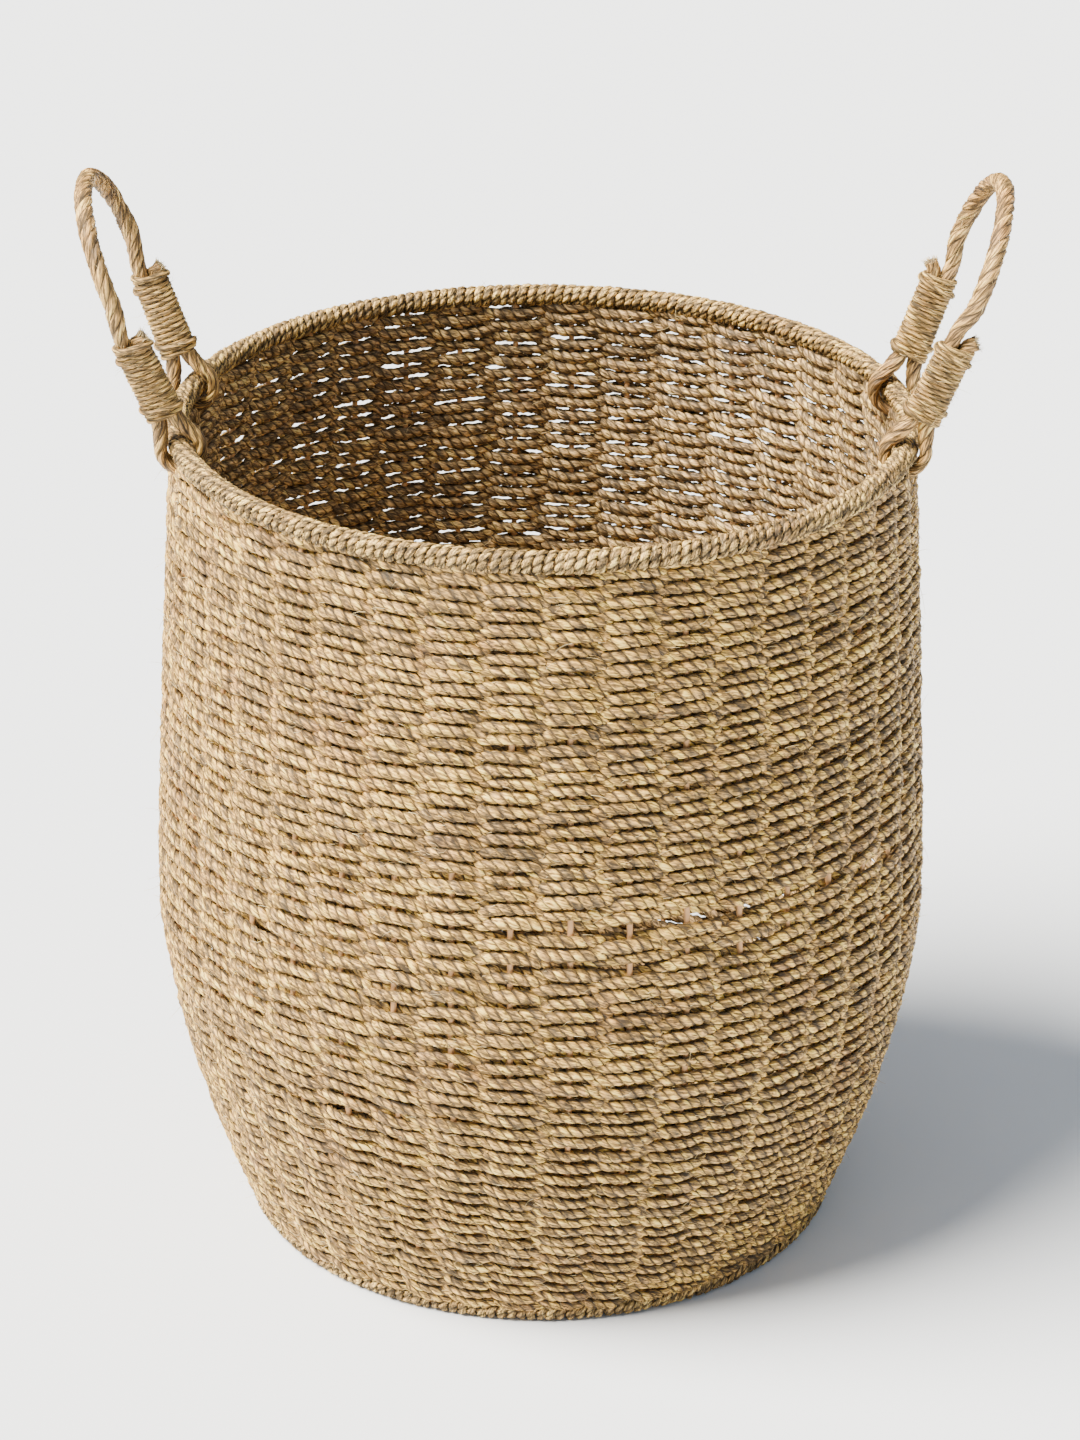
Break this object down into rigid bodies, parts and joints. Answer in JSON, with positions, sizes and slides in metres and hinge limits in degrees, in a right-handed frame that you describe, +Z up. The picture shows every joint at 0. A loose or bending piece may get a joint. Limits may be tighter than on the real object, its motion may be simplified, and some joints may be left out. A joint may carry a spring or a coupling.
{
  "type": "basket",
  "caption": "Round open basket of twined jute rope over upright stakes, with a bound rim, a bound foot and two swinging rope handles.",
  "frame": {"origin": "on the floor, under the middle of the basket", "axes": "+Z up; the two handles stand at +X and -X; -Y is the front, which has 21 of the 40 gaps between stakes"},
  "size_m": [0.5072, 0.4388, 0.6194],
  "materials": {
    "jute_weave": "dry hairy two-ply jute rope",
    "jute_pale_cord": "pale two-ply jute cord, closely wound",
    "jute_rope": "hairy many-stranded jute rope",
    "jute_binding": "two-ply jute cord, wound tight",
    "cane": "bare matt cane"
  },
  "bodies": {
    "basket": {"foot_hoop": "cane", "foot_wrap": "jute_pale_cord", "base_weft_lower": "jute_weave", "base_weft_upper": "jute_weave", "base_stick_x1": "cane", "base_stick_x2": "cane", "base_stick_x3": "cane", "base_stick_y1": "cane", "base_stick_y2": "cane", "base_stick_y3": "cane", "stake_01": "cane", "stake_02": "cane", "stake_03": "cane", "stake_04": "cane", "stake_05": "cane", "stake_06": "cane", "stake_07": "cane", "stake_08": "cane", "stake_09": "cane", "stake_10": "cane", "stake_11": "cane", "stake_12": "cane", "stake_13": "cane", "stake_14": "cane", "stake_15": "cane", "stake_16": "cane", "stake_17": "cane", "stake_18": "cane", "stake_19": "cane", "stake_20": "cane", "stake_21": "cane", "stake_22": "cane", "stake_23": "cane", "stake_24": "cane", "stake_25": "cane", "stake_26": "cane", "stake_27": "cane", "stake_28": "cane", "stake_29": "cane", "stake_30": "cane", "stake_31": "cane", "stake_32": "cane", "stake_33": "cane", "stake_34": "cane", "stake_35": "cane", "stake_36": "cane", "stake_37": "cane", "stake_38": "cane", "stake_39": "cane", "stake_40": "cane", "wall_weft_outer": "jute_weave", "wall_weft_inner": "jute_weave", "rim_hoop": "cane", "rim_wrap": "jute_pale_cord"},
    "handle_right": {"handle_right_rope": "jute_rope", "handle_right_binding_front": "jute_binding", "handle_right_binding_back": "jute_binding"},
    "handle_left": {"handle_left_rope": "jute_rope", "handle_left_binding_front": "jute_binding", "handle_left_binding_back": "jute_binding"}
  },
  "joints": [
    {"name": "handle_right_swing", "type": "hinge", "parent": "basket", "child": "handle_right", "pos_m": [0.19736, 0, 0.48], "axis": [0, 1, 0], "range_deg": [-140, 100]},
    {"name": "handle_left_swing", "type": "hinge", "parent": "basket", "child": "handle_left", "pos_m": [-0.19736, 0, 0.48], "axis": [0, -1, 0], "range_deg": [-140, 100]}
  ]
}
